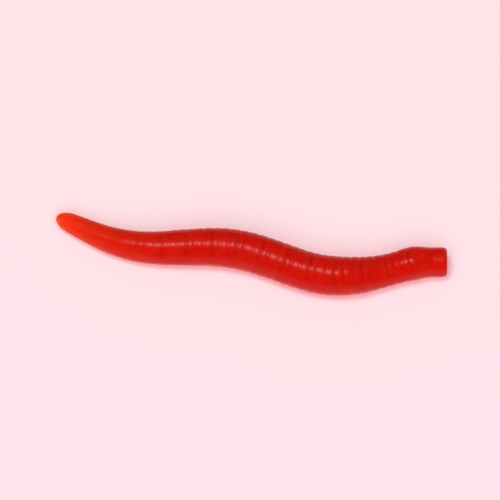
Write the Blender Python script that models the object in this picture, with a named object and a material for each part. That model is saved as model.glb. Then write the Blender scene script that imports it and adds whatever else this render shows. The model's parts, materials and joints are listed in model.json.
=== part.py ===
"""A soft plastic worm, lying in its moulded wave. It is cast in one piece of flexible plastic
that bends at its ring grooves, so it is built as a row of short sections. The tail end of each
section is a dome, and the next section has a cup that fits over it, with one hinge axis through
the dome's centre. The hinges bend the worm sideways and upwards in turn.

Lengths along the worm are measured from the flat face of the head. The head points along +X.
"""

import math

import bmesh
import bpy
from mathutils import Matrix, Vector

MM = 0.001

# Overall sizes
LENGTH = 35.0 * MM  # along the middle of the worm, from the head face to the tail tip
BODY_RADIUS = 1.7 * MM

# The head: a flat face, a blunt nose that widens to a bead, and a slightly slimmer neck
FACE_RADIUS = 1.0 * MM
FACE_ROUNDING = 0.4 * MM  # length over which the edge of the face is rounded
NOSE_RADIUS = 1.28 * MM
NOSE_TO = 1.2 * MM
BEAD_RADIUS = 1.46 * MM
BEAD_AT = 3.0 * MM
NECK_RADIUS = 1.38 * MM
NECK_AT = 4.4 * MM
BODY_FROM = 10.0 * MM  # full thickness starts here

# The tail: a long taper, then a rounded tip
TAIL_FROM = 18.5 * MM
TAIL_RADIUS = 0.73 * MM
TAIL_CURVE = 1.5  # 1 tapers in a straight line, more keeps the thickness longer
TIP_ROUNDING = 1.4 * MM

# The moulded wave. Seen from above, the worm swings to either side of a lean, and both the
# swing and the lean change evenly from the head to the tail.
WAVE_LENGTH = 18.2 * MM
WAVE_CREST = 5.4 * MM  # where the worm leans furthest, from the head face
HEAD_SWING = math.radians(19)
TAIL_SWING = math.radians(11)
HEAD_LEAN = math.radians(11.5)
TAIL_LEAN = math.radians(-10)

# The sections and the joints between them
BODY_SECTIONS = 8
TAIL_SECTIONS = 5
JOINT_GAP = 0.1 * MM  # between a dome and the cup around it
RIM_OFFSET = 0.75  # from the centre of a dome to its rim, in radii of the worm
GROOVE_DEPTH = 0.07 * MM  # how far the rims of a section lie below its middle

# Fineness of the surfaces
SIDES = 16
CAP_STEPS = 4
BARREL_STEPS = 3
ROUNDING_STEPS = 4
WALK_STEP = 0.05 * MM  # step used to follow the wave
MERGE_DISTANCE = 0.001 * MM  # corners nearer than this become one
SHARP_ANGLE = math.radians(35)  # edges that turn more than this are shaded sharp

NAMES = (
    ["head", "neck"]
    + [f"body_section_{number:02d}" for number in range(1, BODY_SECTIONS + 1)]
    + [f"tail_section_{number:02d}" for number in range(1, TAIL_SECTIONS + 1)]
    + ["tail_tip"]
)

DEEP_RED = (0.52, 0.012, 0.006)
THIN_RED = (0.85, 0.045, 0.012)


def smooth(value, low, high):
    """0 below low and 1 above high, with an S-shaped rise between them."""
    share = min(1.0, max(0.0, (value - low) / (high - low)))
    return share * share * (3 - 2 * share)


def full_radius_at(along):
    """Radius of the worm at a distance along it from the head face, before its ends are rounded."""
    if along < BEAD_AT:
        return NOSE_RADIUS + (BEAD_RADIUS - NOSE_RADIUS) * smooth(along, NOSE_TO, BEAD_AT)
    if along < NECK_AT:
        return BEAD_RADIUS + (NECK_RADIUS - BEAD_RADIUS) * smooth(along, BEAD_AT, NECK_AT)
    if along < TAIL_FROM:
        return NECK_RADIUS + (BODY_RADIUS - NECK_RADIUS) * smooth(along, NECK_AT, BODY_FROM)
    share = (along - TAIL_FROM) / (LENGTH - TAIL_FROM)
    return BODY_RADIUS - (BODY_RADIUS - TAIL_RADIUS) * share**TAIL_CURVE


def radius_at(along):
    """Radius of the worm at a distance along it from the head face."""
    radius = full_radius_at(along)
    to_face = max(0.0, 1 - along / FACE_ROUNDING)
    to_tip = max(0.0, 1 - (LENGTH - along) / TIP_ROUNDING)
    nose_loss = (NOSE_RADIUS - FACE_RADIUS) * (1 - math.sqrt(1 - to_face * to_face))
    return (radius - nose_loss) * math.sqrt(max(0.0, 1 - to_tip * to_tip))


def lean_at(along):
    """Angle between the worm and the X axis, seen from above."""
    share = along / LENGTH
    lean = HEAD_LEAN + (TAIL_LEAN - HEAD_LEAN) * share
    swing = HEAD_SWING + (TAIL_SWING - HEAD_SWING) * share
    return lean + swing * math.cos(2 * math.pi * (along - WAVE_CREST) / WAVE_LENGTH)


def middle_at(along):
    """Point in the middle of the worm. Its underside touches the ground all the way."""
    steps = max(1, round(along / WALK_STEP))
    step = along / steps
    x = 0.0
    y = 0.0
    for number in range(steps):
        lean = lean_at((number + 0.5) * step)
        x -= math.cos(lean) * step
        y -= math.sin(lean) * step
    return Vector((x, y, full_radius_at(along)))


def cap_arc(centre, cap_radius, rim_radius):
    """Points (along, out) of a dome's or a cup's outline, from its pole to its rim."""
    rim_angle = math.asin(rim_radius / cap_radius)
    angles = [rim_angle * step / CAP_STEPS for step in range(CAP_STEPS + 1)]
    return [(centre + cap_radius * math.cos(a), cap_radius * math.sin(a)) for a in angles]


def dome_radius(rim_radius):
    """Radius of the sphere that a dome and its cup share, before the gap."""
    return rim_radius * math.hypot(1, RIM_OFFSET)


def rim_radius_at(joint):
    """Radius of the worm at the groove behind a joint."""
    return radius_at(joint + RIM_OFFSET * radius_at(joint)) - GROOVE_DEPTH


def rounding_steps(length):
    """Distances from an end of the worm to the corners of its rounding."""
    angles = [math.pi / 2 * step / ROUNDING_STEPS for step in range(1, ROUNDING_STEPS + 1)]
    return [length * (1 - math.cos(a)) for a in angles]


def steps_between(first, last):
    """Distances that divide the stretch from first to last into equal parts."""
    return [first + (last - first) * step / BARREL_STEPS for step in range(1, BARREL_STEPS)]


def section_outline(start, end):
    """Outline (along, out) of the section that turns on the joint at start and carries the joint
    at end, from its front pole to its back pole. Start is 0 on the head, and end is LENGTH on
    the tail tip."""
    if start == 0:
        front = [(0.0, 0.0), (0.0, FACE_RADIUS)]
    else:
        rim = rim_radius_at(start)
        front = cap_arc(0.0, dome_radius(rim) + JOINT_GAP, rim)
    reach = (middle_at(end) - middle_at(start)).length
    if end == LENGTH:
        back = [(reach, 0.0)]
        last = reach
    else:
        rim = rim_radius_at(end)
        back = cap_arc(reach, dome_radius(rim), rim)[::-1]
        last = back[0][0]
    first = front[-1][0]
    if start == 0:
        rounding = rounding_steps(FACE_ROUNDING)
        between = rounding + steps_between(rounding[-1], last)
    elif end == LENGTH:
        rounding = [reach - from_tip for from_tip in rounding_steps(TIP_ROUNDING)[::-1]]
        between = steps_between(first, rounding[0]) + rounding
    else:
        between = steps_between(first, last)
    barrel = [(along, radius_at(start + along)) for along in between]
    return front + barrel + back


def turned_mesh(name, outline):
    """A closed mesh made by turning an outline about the X axis."""
    shape = bmesh.new()
    corners = [shape.verts.new((along, 0.0, out)) for along, out in outline]
    for one, other in zip(corners, corners[1:]):
        shape.edges.new((one, other))
    bmesh.ops.spin(
        shape,
        geom=shape.verts[:] + shape.edges[:],
        cent=(0, 0, 0),
        axis=(1, 0, 0),
        angle=2 * math.pi,
        steps=SIDES,
        use_merge=True,
    )
    bmesh.ops.remove_doubles(shape, verts=shape.verts[:], dist=MERGE_DISTANCE)
    bmesh.ops.recalc_face_normals(shape, faces=shape.faces[:])
    mesh = bpy.data.meshes.new(name)
    shape.to_mesh(mesh)
    shape.free()
    mesh.shade_smooth()
    mesh.set_sharp_from_angle(angle=SHARP_ANGLE)
    return mesh


def plastic(name, radius):
    """Flexible translucent plastic: deep red where the worm is thick, brighter where thin."""
    share = smooth(radius, TAIL_RADIUS, BODY_RADIUS)
    colour = [thin + (deep - thin) * share for thin, deep in zip(THIN_RED, DEEP_RED)]
    material = bpy.data.materials.new(name)
    material.use_nodes = True
    surface = material.node_tree.nodes["Principled BSDF"]
    surface.inputs["Base Color"].default_value = (*colour, 1.0)
    surface.inputs["Roughness"].default_value = 0.35
    surface.inputs["Metallic"].default_value = 0.0
    material.diffuse_color = (*colour, 1.0)
    return material


def place_between(start, end):
    """Frame with its origin on the joint at start, X towards the joint at end, and Z up."""
    origin = middle_at(start)
    forward = (middle_at(end) - origin).normalized()
    side = Vector((0, 0, 1)).cross(forward).normalized()
    up = forward.cross(side)
    return Matrix.Translation(origin) @ Matrix((forward, side, up)).transposed().to_4x4()


def make_section(name, start, end, previous):
    """One section, hung on the section before it."""
    mesh = turned_mesh(name, section_outline(start, end))
    section = bpy.data.objects.new(name, mesh)
    bpy.context.scene.collection.objects.link(section)
    mesh.materials.append(plastic(name + "_plastic", radius_at((start + end) / 2)))
    place = place_between(start, end)
    if previous:
        section.parent = previous
        place = previous.matrix_world.inverted() @ place
    section.matrix_basis = place
    bpy.context.view_layer.update()
    return section


def stand_on_origin(head, sections):
    """Moves the worm by its head, so that the origin is under the middle of its box."""
    corners = [one.matrix_world @ vertex.co for one in sections for vertex in one.data.vertices]
    low = Vector(map(min, zip(*corners)))
    high = Vector(map(max, zip(*corners)))
    middle = (low + high) / 2
    head.matrix_basis = Matrix.Translation((-middle.x, -middle.y, -low.z)) @ head.matrix_basis
    bpy.context.view_layer.update()


def make_worm():
    """The whole worm. The sections are equally long, and the first one is the head."""
    for old in list(bpy.data.objects):
        bpy.data.objects.remove(old)
    pitch = LENGTH / len(NAMES)
    sections = []
    previous = None
    for number, name in enumerate(NAMES):
        end = LENGTH if number == len(NAMES) - 1 else (number + 1) * pitch
        previous = make_section(name, number * pitch, end, previous)
        sections.append(previous)
    stand_on_origin(sections[0], sections)
    return sections


make_worm()
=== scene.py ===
import json
import math

import bmesh
import bpy
import numpy as np
from mathutils import Matrix, Vector, noise

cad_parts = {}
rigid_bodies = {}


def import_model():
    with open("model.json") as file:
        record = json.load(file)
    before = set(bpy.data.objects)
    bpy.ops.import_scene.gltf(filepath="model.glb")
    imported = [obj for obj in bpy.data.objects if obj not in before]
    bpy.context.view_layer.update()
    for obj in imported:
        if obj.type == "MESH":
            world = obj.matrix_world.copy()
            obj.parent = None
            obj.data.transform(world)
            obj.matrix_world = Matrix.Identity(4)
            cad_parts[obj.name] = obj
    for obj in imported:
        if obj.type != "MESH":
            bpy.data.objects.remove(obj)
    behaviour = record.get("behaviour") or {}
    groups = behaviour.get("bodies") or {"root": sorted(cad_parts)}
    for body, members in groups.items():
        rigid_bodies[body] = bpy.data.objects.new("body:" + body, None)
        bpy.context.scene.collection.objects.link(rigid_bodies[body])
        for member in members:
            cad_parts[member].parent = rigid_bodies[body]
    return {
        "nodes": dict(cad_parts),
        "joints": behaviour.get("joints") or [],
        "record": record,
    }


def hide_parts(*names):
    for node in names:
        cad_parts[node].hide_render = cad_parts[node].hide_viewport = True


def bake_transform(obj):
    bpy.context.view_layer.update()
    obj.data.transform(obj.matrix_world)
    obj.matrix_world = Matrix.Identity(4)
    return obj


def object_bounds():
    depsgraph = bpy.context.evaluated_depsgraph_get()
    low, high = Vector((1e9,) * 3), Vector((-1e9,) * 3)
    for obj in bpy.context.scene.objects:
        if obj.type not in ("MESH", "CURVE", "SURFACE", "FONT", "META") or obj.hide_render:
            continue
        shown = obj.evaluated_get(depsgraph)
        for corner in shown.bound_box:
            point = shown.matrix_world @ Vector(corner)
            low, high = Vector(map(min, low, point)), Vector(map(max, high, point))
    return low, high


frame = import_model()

MM = 0.001

# The head: a cut face, a blunt nose that widens to a bead, and a slightly slimmer neck.
# Distances along the worm are from the face.
LENGTH = 35.0 * MM
FACE_RADIUS = 1.0 * MM
FACE_ROUNDING = 0.4 * MM
SINK_DEPTH = 0.06 * MM  # how far the cut face sinks in the middle, where the plastic shrank
NOSE_RADIUS = 1.28 * MM
NOSE_TO = 1.2 * MM
BEAD_RADIUS = 1.46 * MM
BEAD_AT = 3.0 * MM
NECK_RADIUS = 1.38 * MM
NECK_AT = 4.4 * MM

# The body and the long taper of the tail
BODY_RADIUS = 1.7 * MM
BODY_FROM = 10.0 * MM
TAIL_FROM = 18.5 * MM
TAIL_RADIUS = 0.73 * MM
TAIL_CURVE = 1.5  # 1 tapers in a straight line, more keeps the thickness longer
TIP_ROUNDING = 1.4 * MM

# The rings moulded round it. They begin behind the head bead and fade towards the tail.
RINGS_PER_SECTION = 3
RING_DEPTH = 0.04 * MM
RING_WIDTH = 0.15 * MM
RING_TILT = 0.05 * MM  # how far a ring wanders along the worm on its way round
RING_START = 2.2 * MM
RING_END = 33.0 * MM
RING_STEADY = 0.8  # share of a ring's depth that all rings have; the rest varies
RING_TURN = 2.1  # angle by which the wander of one ring is ahead of the last

# The line where the halves of the mould met, and the unevenness of the casting
PARTING_HEIGHT = 0.02 * MM
PARTING_WIDTH = 0.045  # in radii of the worm
LUMP_HEIGHT = 0.03 * MM
LUMP_LENGTH = 1.6 * MM

# The skins: one over each joint, with its ends a hair inside its neighbours. A row is a ring of
# corners round the worm.
SIDES = 72
ROWS_PER_RING = 9
HEAD_ROWS = 10  # over the rounded edge of the face
FACE_ROWS = 6
TIP_ROWS = 14
OVERLAP = 0.01 * MM
BEND_REACH = 0.95 * MM  # distance to either side of a joint; make_worm works out a reach from it, but no skin is bent by it
WALK_STEP = 0.02 * MM  # step used to find which way the middle line runs
SHARP_ANGLE = math.radians(50)  # edges that turn more than this are shaded sharp

# The plastic's colours: deep red, its own colour, where the worm is thick, and orange red where it
# is thin, a painted glow of light shining through the thin tail
DEEP_RED = (0.58, 0.006, 0.0002, 1)
THIN_GLOW_RED = (0.98, 0.08, 0.008, 1)
# painted shade: a darker red down the walls of the ring grooves, where shade falls
GROOVE_SHADE_RED = (0.5, 0.002, 0.0006, 1)
GROOVE_SHADE_STRENGTH = 0.1
CLOUD_LENGTH = 1.4 * MM  # clouds of pigment
CLOUD_STRENGTH = 0.35

# Light inside the plastic. Red goes much further than green or blue.
GLOW_COLOUR = (1.0, 0.14, 0.08)
GLOW_REACH = 1.2 * MM
GLOW_ONWARDS = 0.6  # 0 scatters light every way, and 1 lets it go straight on
SHADOW_RED = (0.5, 0.08, 0.06, 1)  # light that comes right through
SOAK_DEPTH = 2.0 * MM  # depth of plastic that soaks up most of the light

# The plastic's gloss, which an oily film makes uneven
SPECULAR_LEVEL = 0.1
ROUGHNESS = 0.34
FILM_LENGTH = 0.9 * MM
FILM_CHANGE = 0.22  # how far the film changes the roughness in all
FILM_WEIGHT = 0.15
FILM_ROUGHNESS = 0.2

# The finish of the mould: a fine grain, and tool lines that run round the worm
GRAIN_LENGTH = 0.14 * MM
GRAIN_DETAIL = 3.0
GRAIN_HEIGHT = 0.012 * MM
LINES_PER_MM = 4.1
LINE_SHARE = 0.25  # height of the lines in heights of the grain

# The view: how high the camera stands, how far it is turned, and how wide it sees
VIEW_ELEVATION = math.radians(62.5)
VIEW_TURN = math.radians(9.5)
VIEW_DISTANCE = 0.73
VIEW_WIDTH = 0.043
SENSOR = 36.0
NEAREST_SEEN = 0.01
FURTHEST_SEEN = 10

# The room: a pale floor, a small window that glossy things mirror, and a wide soft panel
FLOOR_PINK = (0.92, 0.71, 0.755, 1)
FLOOR_ROUGHNESS = 0.6
FLOOR_SIZE = 3
AIR_COLOUR = (1, 0.98, 0.98, 1)
AIR_BRIGHTNESS = 0.15
WINDOW_PLACE = (-0.45, -0.3, 2.55)
WINDOW_SIZE = 0.75
WINDOW_POWER = 23.0
PANEL_PLACE = (0.35, -1.6, 2.6)
PANEL_SIZE = 3.6
PANEL_POWER = 94.0

cad_low, cad_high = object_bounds()
joints = frame["joints"]
head_face = frame["record"]["mounts"][0]


def make_camera():
    """Looks down at the middle of the worm, turned a little towards the head's side."""
    back = Vector((
        math.sin(VIEW_TURN) * math.cos(VIEW_ELEVATION),
        -math.cos(VIEW_TURN) * math.cos(VIEW_ELEVATION),
        math.sin(VIEW_ELEVATION),
    ))
    data = bpy.data.cameras.new("camera")
    data.sensor_width = SENSOR
    data.lens = SENSOR * VIEW_DISTANCE / VIEW_WIDTH
    data.clip_start = NEAREST_SEEN
    data.clip_end = FURTHEST_SEEN
    camera = bpy.data.objects.new("camera", data)
    bpy.context.scene.collection.objects.link(camera)
    camera.location = (cad_low + cad_high) / 2 + back * VIEW_DISTANCE
    camera.rotation_mode = "QUATERNION"
    camera.rotation_quaternion = (-back).to_track_quat("-Z", "Y")
    bpy.context.scene.camera = camera


def spline_through(knots, points):
    """A natural cubic spline: a function from a distance along it to a point."""
    gaps = np.diff(knots)
    slopes = np.diff(points, axis=0) / gaps[:, None]
    count = len(knots)
    matrix = np.eye(count)
    right = np.zeros((count, 3))
    for i in range(1, count - 1):
        matrix[i, i - 1:i + 2] = gaps[i - 1], 2 * (gaps[i - 1] + gaps[i]), gaps[i]
        right[i] = 6 * (slopes[i] - slopes[i - 1])
    bends = np.linalg.solve(matrix, right)

    def point(along):
        i = min(max(int(np.searchsorted(knots, along)) - 1, 0), count - 2)
        gap = gaps[i]
        after = (along - knots[i]) / gap
        before = 1 - after
        bow = bends[i] * (before**3 - before) + bends[i + 1] * (after**3 - after)
        return Vector(points[i] * before + points[i + 1] * after + bow * gap * gap / 6)

    return point


def smooth(value, low, high):
    """0 below low and 1 above high, with an S-shaped rise between them."""
    share = min(1.0, max(0.0, (value - low) / (high - low)))
    return share * share * (3 - 2 * share)


def full_radius(along):
    """Radius of the worm before its ends are rounded."""
    if along < BEAD_AT:
        return NOSE_RADIUS + (BEAD_RADIUS - NOSE_RADIUS) * smooth(along, NOSE_TO, BEAD_AT)
    if along < NECK_AT:
        return BEAD_RADIUS + (NECK_RADIUS - BEAD_RADIUS) * smooth(along, BEAD_AT, NECK_AT)
    if along < TAIL_FROM:
        return NECK_RADIUS + (BODY_RADIUS - NECK_RADIUS) * smooth(along, NECK_AT, BODY_FROM)
    share = (along - TAIL_FROM) / (LENGTH - TAIL_FROM)
    return BODY_RADIUS - (BODY_RADIUS - TAIL_RADIUS) * share**TAIL_CURVE


def middle_points():
    """The middle of the head face, the joints, and the tail tip, evenly spaced along the worm."""
    points = [Vector(head_face["pos_m"])] + [Vector(joint["pos_m"]) for joint in joints]
    last = points[-1]
    tip = max(frame["nodes"]["tail_tip"].data.vertices, key=lambda v: (v.co - last).length)
    return points + [tip.co.copy()]


points = middle_points()
PITCH = LENGTH / (len(points) - 1)
knots = [number * PITCH for number in range(len(points))]
wave = spline_through(np.array(knots), np.array(points))


def middle(along):
    """Middle line of the worm. The worm lies on the ground, so it is as high as the radius."""
    x, y, _ = wave(along)
    return Vector((x, y, full_radius(along)))


def forward_at(along):
    """Direction of the middle line towards the tail."""
    ahead = middle(min(LENGTH, along + WALK_STEP))
    behind = middle(max(0.0, along - WALK_STEP))
    return (ahead - behind).normalized()


def place_at(along):
    """Frame on the middle line: X sideways, Y up and Z towards the tail."""
    forward = forward_at(along)
    side = Vector((0, 0, 1)).cross(forward).normalized()
    turned = Matrix((side, forward.cross(side), forward)).transposed().to_4x4()
    return Matrix.Translation(middle(along)) @ turned


def plain_radius(along):
    """Radius of the worm at a distance along it, with both ends rounded."""
    to_face = max(0.0, 1 - along / FACE_ROUNDING)
    to_tip = max(0.0, 1 - (LENGTH - along) / TIP_ROUNDING)
    nose_loss = (NOSE_RADIUS - FACE_RADIUS) * (1 - math.sqrt(max(0.0, 1 - to_face * to_face)))
    return (full_radius(along) - nose_loss) * math.sqrt(max(0.0, 1 - to_tip * to_tip))


def ring_grooves():
    """Distances of the ring grooves from the head face. One lies midway between two joints."""
    found = []
    for one, other in zip(knots, knots[1:]):
        for number in range(RINGS_PER_SECTION):
            found.append(one + (other - one) * (number + 0.5) / RINGS_PER_SECTION)
    return found


grooves = ring_grooves()
RING_LENGTH = LENGTH / len(grooves)


def groove_share(along, turn):
    """How far down the wall of a ring groove a point of the skin is, from 0 to about 1."""
    share = 0.0
    nearest = int(along / RING_LENGTH)
    for number in range(max(0, nearest - 1), min(len(grooves), nearest + 2)):
        wander = RING_TILT * math.sin(turn + number * RING_TURN)
        off = (along - grooves[number] - wander) / RING_WIDTH
        depth = RING_STEADY + (1 - RING_STEADY) * math.sin(2 * (turn + number * RING_TURN))
        share = max(share, math.exp(-off * off) * depth)
    start = smooth(along, RING_START, RING_START + 2 * RING_LENGTH)
    end = 1 - smooth(along, LENGTH / 2, RING_END)
    return share * start * end


def surface_radius(along, turn):
    """Distance of the skin from the middle line, with rings, parting line and lumps."""
    base = plain_radius(along)
    end_fade = min(1.0, base / FACE_RADIUS)
    parting = math.exp(-((math.sin(turn) / PARTING_WIDTH) ** 2)) * PARTING_HEIGHT
    spot = Vector((along, base * math.cos(turn), base * math.sin(turn))) / LUMP_LENGTH
    lump = noise.noise(spot) * LUMP_HEIGHT
    return base + (parting + lump - groove_share(along, turn) * RING_DEPTH) * end_fade


def skin_rows(first, last):
    """Distances of a skin's rows from the head face. They lie closer together at rounded ends."""
    if first == 0:
        start = FACE_ROUNDING
        quarter = [math.pi / 2 * n / HEAD_ROWS for n in range(HEAD_ROWS)]
        rows = [FACE_ROUNDING * (1 - math.cos(a)) for a in quarter]
    else:
        start = first - OVERLAP
        rows = []
    if last == LENGTH:
        stop = LENGTH - TIP_ROUNDING
        quarter = [math.pi / 2 * n / TIP_ROWS for n in range(1, TIP_ROWS)]
        tip = [LENGTH - TIP_ROUNDING * (1 - math.sin(a)) for a in quarter]
    else:
        stop = last + OVERLAP
        tip = []
    count = round((stop - start) / RING_LENGTH * ROWS_PER_RING)
    return rows + [start + (stop - start) * n / count for n in range(count + 1)] + tip


def extruded_ring(shape, edges):
    """Extrudes a ring of edges, and returns the new ring's corners and edges."""
    made = bmesh.ops.extrude_edge_only(shape, edges=edges)["geom"]
    corners = [item for item in made if isinstance(item, bmesh.types.BMVert)]
    return corners, [item for item in made if isinstance(item, bmesh.types.BMEdge)]


def thin_share(along):
    """How thin the tail is, from 0 where it is as thick as the body to 1 at its tip."""
    return (1 - smooth(plain_radius(along), 0, BODY_RADIUS)) * smooth(along, BODY_FROM, TAIL_FROM)


def shape_ring(ring, row, layers):
    """Puts a ring of corners on the worm's surface, and notes where on the worm it is."""
    place = place_at(row)
    for number, corner in enumerate(ring):
        turn = 2 * math.pi * number / len(ring)
        radius = surface_radius(row, turn)
        corner.co = place @ Vector((math.cos(turn) * radius, math.sin(turn) * radius, 0))
        corner.co.z = max(corner.co.z, 0.0)  # the soft underside lies flat on the ground
        corner[layers["along"]] = row / MM
        # how far down a ring groove it is, which sets the painted shade in the grooves
        corner[layers["groove"]] = groove_share(row, turn)
        # how thin the tail is, which sets the painted glow of light shining through it
        corner[layers["thin"]] = thin_share(row)


def cut_face(shape, edges, layers):
    """The face where the head was cut from its runner. It sinks towards the middle."""
    place = place_at(0)
    for row in range(1, FACE_ROWS):
        ring, edges = extruded_ring(shape, edges)
        share = 1 - row / FACE_ROWS
        for number, corner in enumerate(ring):
            turn = 2 * math.pi * number / len(ring)
            radius = surface_radius(0, turn) * share
            sink = SINK_DEPTH * (1 - smooth(share, 0, 1))
            corner.co = place @ Vector((math.cos(turn) * radius, math.sin(turn) * radius, sink))
    ring, edges = extruded_ring(shape, edges)
    bmesh.ops.pointmerge(shape, verts=ring, merge_co=place @ Vector((0, 0, SINK_DEPTH)))


def make_skin(name, first, last):
    """The skin between two places on the worm, closed at both ends."""
    shape = bmesh.new()
    layers = {word: shape.verts.layers.float.new(word) for word in ("along", "groove", "thin")}
    ring = bmesh.ops.create_circle(shape, segments=SIDES, radius=BODY_RADIUS)["verts"]
    front = shape.edges[:]
    back = front
    for number, row in enumerate(skin_rows(first, last)):
        if number > 0:
            ring, back = extruded_ring(shape, back)
        shape_ring(ring, row, layers)
    if first == 0:
        cut_face(shape, front, layers)
    else:
        bmesh.ops.holes_fill(shape, edges=front, sides=SIDES)
    if last == LENGTH:
        ring, back = extruded_ring(shape, back)
        bmesh.ops.pointmerge(shape, verts=ring, merge_co=middle(LENGTH))
    else:
        bmesh.ops.holes_fill(shape, edges=back, sides=SIDES)
    bmesh.ops.recalc_face_normals(shape, faces=shape.faces[:])
    mesh = bpy.data.meshes.new(name)
    shape.to_mesh(mesh)
    shape.free()
    mesh.shade_smooth()
    mesh.set_sharp_from_angle(angle=SHARP_ANGLE)
    skin = bpy.data.objects.new(name, mesh)
    bpy.context.scene.collection.objects.link(skin)
    return skin


class Plastic:
    """Puts nodes into a material one at a time and joins them up."""

    def __init__(self, name):
        self.material = bpy.data.materials.new(name)
        self.material.use_nodes = True
        self.nodes = self.material.node_tree.nodes
        self.surface = self.nodes["Principled BSDF"]

    def node(self, kind, inputs=(), **settings):
        """A new node. Each of its inputs is given a value or another node's output."""
        made = self.nodes.new(kind)
        for name, value in settings.items():
            setattr(made, name, value)
        for socket, value in inputs:
            self.feed(made.inputs[socket], value)
        return made

    def feed(self, socket, value):
        """Gives an input a value or another node's output."""
        if isinstance(value, bpy.types.NodeSocket):
            self.material.node_tree.links.new(value, socket)
        else:
            socket.default_value = value

    def reckon(self, operation, *numbers):
        """The result of an operation on numbers or other nodes' outputs."""
        return self.node("ShaderNodeMath", enumerate(numbers), operation=operation).outputs[0]

    def sum(self, first, second, times):
        """first + second * times"""
        return self.reckon("MULTIPLY_ADD", second, times, first)

    def mix(self, share, one, other):
        """A colour between two others."""
        inputs = ((0, share), (6, one), (7, other))
        return self.node("ShaderNodeMix", inputs, data_type="RGBA").outputs[2]

    def mix_surfaces(self, share, one, other):
        """A surface between two others."""
        inputs = ((0, share), (1, one.outputs[0]), (2, other.outputs[0]))
        return self.node("ShaderNodeMixShader", inputs)

    def noise(self, place, length, detail=2.0):
        """Cloudy noise with lumps of about the given length, from 0 to 1."""
        inputs = (("Vector", place), ("Scale", 1 / length), ("Detail", detail))
        return self.node("ShaderNodeTexNoise", inputs).outputs[0]


def let_light_through(made):
    """Lets light that is already inside a skin go on through the ends of its neighbours. It fades
    as it goes. Some light comes right through the worm, so its shadow is red."""
    light = made.node("ShaderNodeLightPath").outputs
    # light from outside has passed a surface by the time it reaches an inner side
    from_inside = made.reckon("LESS_THAN", light["Transparent Depth"], 0.5)
    depth = made.reckon("MULTIPLY", from_inside, light["Ray Length"])
    left = made.reckon("EXPONENT", made.sum(0.0, depth, -1 / SOAK_DEPTH))
    clear = made.node("ShaderNodeBsdfTransparent", (("Color", left),))
    stained = made.node("ShaderNodeBsdfTransparent", (("Color", SHADOW_RED),))
    outside = made.mix_surfaces(light["Is Shadow Ray"], made.surface, stained)
    inner_side = made.node("ShaderNodeNewGeometry").outputs["Backfacing"]
    both = made.mix_surfaces(inner_side, outside, clear)
    made.feed(made.nodes["Material Output"].inputs["Surface"], both.outputs[0])


def plastisol():
    """Soft, translucent red plastisol, with pigment clouds, a fine mould grain, an oily film, a
    painted glow on the thin tail and painted shade in the ring grooves.
    """
    made = Plastic("red_plastisol")
    place = made.node("ShaderNodeTexCoord").outputs["Object"]
    read = {}
    for word in ("along", "groove", "thin"):
        read[word] = made.node("ShaderNodeAttribute", attribute_name=word).outputs["Fac"]
    clouds = made.noise(place, CLOUD_LENGTH)
    grain = made.noise(place, GRAIN_LENGTH, GRAIN_DETAIL)
    film = made.noise(place, FILM_LENGTH)

    # painted light: the thin tail turns orange red as if lit through, mixed with the real pigment
    # clouds
    share = made.sum(read["thin"], made.sum(-0.5, clouds, 1.0), CLOUD_STRENGTH)
    colour = made.mix(share, DEEP_RED, THIN_GLOW_RED)
    # painted shade: darker red down the walls of the ring grooves
    colour = made.mix(made.sum(0.0, read["groove"], GROOVE_SHADE_STRENGTH), colour, GROOVE_SHADE_RED)
    made.feed(made.surface.inputs["Base Color"], colour)

    gloss = made.sum(ROUGHNESS - FILM_CHANGE / 2, film, FILM_CHANGE)
    made.feed(made.surface.inputs["Roughness"], gloss)

    lines = made.reckon("SINE", made.sum(0.0, read["along"], LINES_PER_MM * 2 * math.pi))
    height = made.sum(grain, lines, LINE_SHARE)
    bump = made.node("ShaderNodeBump", (("Height", height), ("Distance", GRAIN_HEIGHT)))
    made.feed(made.surface.inputs["Normal"], bump.outputs[0])

    made.surface.inputs["Specular IOR Level"].default_value = SPECULAR_LEVEL
    made.surface.inputs["Coat Weight"].default_value = FILM_WEIGHT
    made.surface.inputs["Coat Roughness"].default_value = FILM_ROUGHNESS
    made.surface.inputs["Subsurface Weight"].default_value = 1.0
    made.surface.inputs["Subsurface Radius"].default_value = GLOW_COLOUR
    made.surface.inputs["Subsurface Scale"].default_value = GLOW_REACH
    made.surface.inputs["Subsurface Anisotropy"].default_value = GLOW_ONWARDS
    let_light_through(made)
    return made.material


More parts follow.
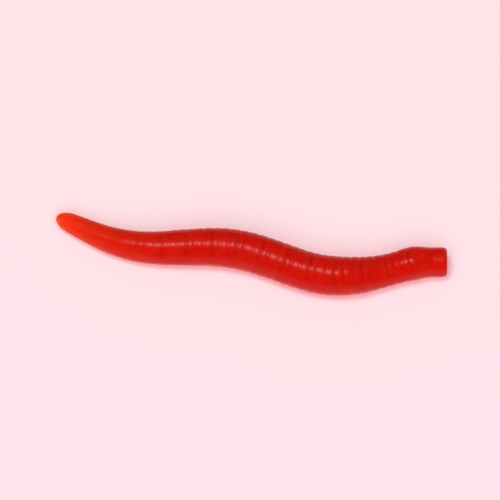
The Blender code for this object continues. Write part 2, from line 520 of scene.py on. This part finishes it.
def make_floor():
    """A plain pale floor."""
    mesh = bpy.data.meshes.new("floor")
    shape = bmesh.new()
    bmesh.ops.create_grid(shape, x_segments=1, y_segments=1, size=FLOOR_SIZE)
    shape.to_mesh(mesh)
    shape.free()
    floor = bpy.data.objects.new("floor", mesh)
    bpy.context.scene.collection.objects.link(floor)
    material = bpy.data.materials.new("pale_floor")
    material.use_nodes = True
    surface = material.node_tree.nodes["Principled BSDF"]
    surface.inputs["Base Color"].default_value = FLOOR_PINK
    surface.inputs["Roughness"].default_value = FLOOR_ROUGHNESS
    mesh.materials.append(material)


def area_light(name, place, size, power, mirrored):
    """A round soft light that faces the worm. Glossy surfaces may or may not mirror it."""
    data = bpy.data.lights.new(name, "AREA")
    data.shape = "DISK"
    data.size = size
    data.energy = power
    light = bpy.data.objects.new(name, data)
    bpy.context.scene.collection.objects.link(light)
    light.location = place
    light.rotation_mode = "QUATERNION"
    light.rotation_quaternion = (-Vector(place)).to_track_quat("-Z", "Y")
    light.visible_glossy = mirrored


def make_room():
    """Soft light all round, and the way its brightness is shown."""
    world = bpy.data.worlds.new("room")
    world.use_nodes = True
    background = world.node_tree.nodes["Background"]
    background.inputs["Color"].default_value = AIR_COLOUR
    background.inputs["Strength"].default_value = AIR_BRIGHTNESS
    bpy.context.scene.world = world
    bpy.context.scene.view_settings.view_transform = "Standard"
    area_light("window", WINDOW_PLACE, WINDOW_SIZE, WINDOW_POWER, mirrored=True)
    area_light("panel", PANEL_PLACE, PANEL_SIZE, PANEL_POWER, mirrored=False)


def make_worm():
    """One skin over each joint, from the middle of one section to the middle of the next."""
    plastic = plastisol()
    for number, joint in enumerate(joints, start=1):
        first = 0.0 if number == 1 else (knots[number - 1] + knots[number]) / 2
        last = LENGTH if number == len(joints) else (knots[number] + knots[number + 1]) / 2
        skin = make_skin(f"skin_{number:02d}", first, last)
        skin.data.materials.append(plastic)
        bend = middle(knots[number])
        reach = forward_at(knots[number]) * BEND_REACH
        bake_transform(skin)
        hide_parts(joint["parent"], joint["child"])


make_camera()
make_worm()
make_floor()
make_room()
